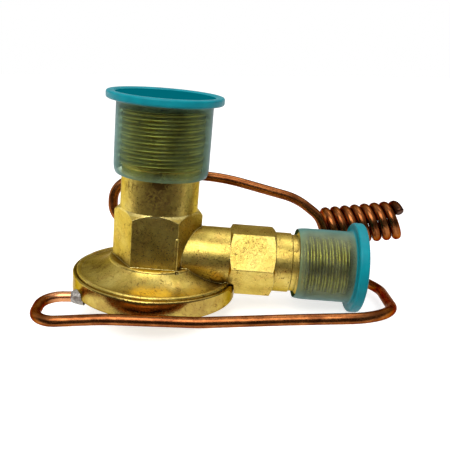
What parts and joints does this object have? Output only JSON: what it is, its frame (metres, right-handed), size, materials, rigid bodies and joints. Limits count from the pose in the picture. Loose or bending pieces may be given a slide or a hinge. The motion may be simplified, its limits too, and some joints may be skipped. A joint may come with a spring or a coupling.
{
  "type": "expansion valve",
  "caption": "Angle-type refrigerant expansion valve with a power head, a coiled sensing capillary, and push-on protective caps on its threaded inlet and outlet.",
  "frame": {"origin": "lowest point of the power head, on the valve's vertical axis", "axes": "+Z along the valve axis from the power head to the outlet port, +X along the inlet arm away from the valve axis, +Y completes a right-handed frame and points to the side that the sensing coil lies on"},
  "size_m": [0.0953, 0.0488, 0.0555],
  "materials": {
    "forged_brass": "as-forged brass with turned faces, lightly tarnished",
    "turned_brass": "turned brass",
    "steel": "stainless steel, plain",
    "copper": "drawn copper tube, darkened by handling and heat",
    "solder": "dull grey solder",
    "cap_plastic": "soft teal plastic, translucent where thin"
  },
  "bodies": {
    "housing": {"valve_body": "forged_brass", "head_cup": "forged_brass", "diaphragm": "steel", "seat_insert": "steel", "superheat_spring": "steel", "inlet_screen": "steel", "screen_ring": "turned_brass", "capillary_tube": "copper", "sensing_coil": "copper", "coil_end_seal": "solder", "solder_joint": "solder"},
    "valve_train": {"thrust_plate": "turned_brass", "push_pin_back": "steel", "push_pin_left": "steel", "push_pin_front": "steel", "ball_carrier": "turned_brass", "valve_ball": "steel"},
    "spring_stop": {"spring_seat": "turned_brass"},
    "adjuster": {"adjusting_nut": "turned_brass"},
    "outlet_cover": {"outlet_cap": "cap_plastic"},
    "inlet_cover": {"inlet_cap": "cap_plastic"}
  },
  "joints": [
    {"name": "valve_lift", "type": "slide", "parent": "housing", "child": "valve_train", "axis": [0, 0, 1], "range_m": [0, 0.0008], "stiffness_N_per_m": 2000, "springref_m": -0.002, "deforming": ["superheat_spring"]},
    {"name": "stop_travel", "type": "slide", "parent": "housing", "child": "spring_stop", "axis": [0, 0, 1], "range_m": [-0.001, 0.001]},
    {"name": "adjuster_turn", "type": "hinge", "parent": "spring_stop", "child": "adjuster", "pos_m": [0, 0, 0.041], "axis": [0, 0, 1], "range_deg": [-400, 400]},
    {"name": "outlet_cap_pull", "type": "slide", "parent": "housing", "child": "outlet_cover", "axis": [0, 0, 1], "range_m": [0, 0.022]},
    {"name": "inlet_cap_pull", "type": "slide", "parent": "housing", "child": "inlet_cover", "axis": [1, 0, 0], "range_m": [0, 0.004]}
  ],
  "couplings": [
    {"joint": "adjuster_turn", "follows": "stop_travel", "rad_per_m": 6283.2}
  ]
}
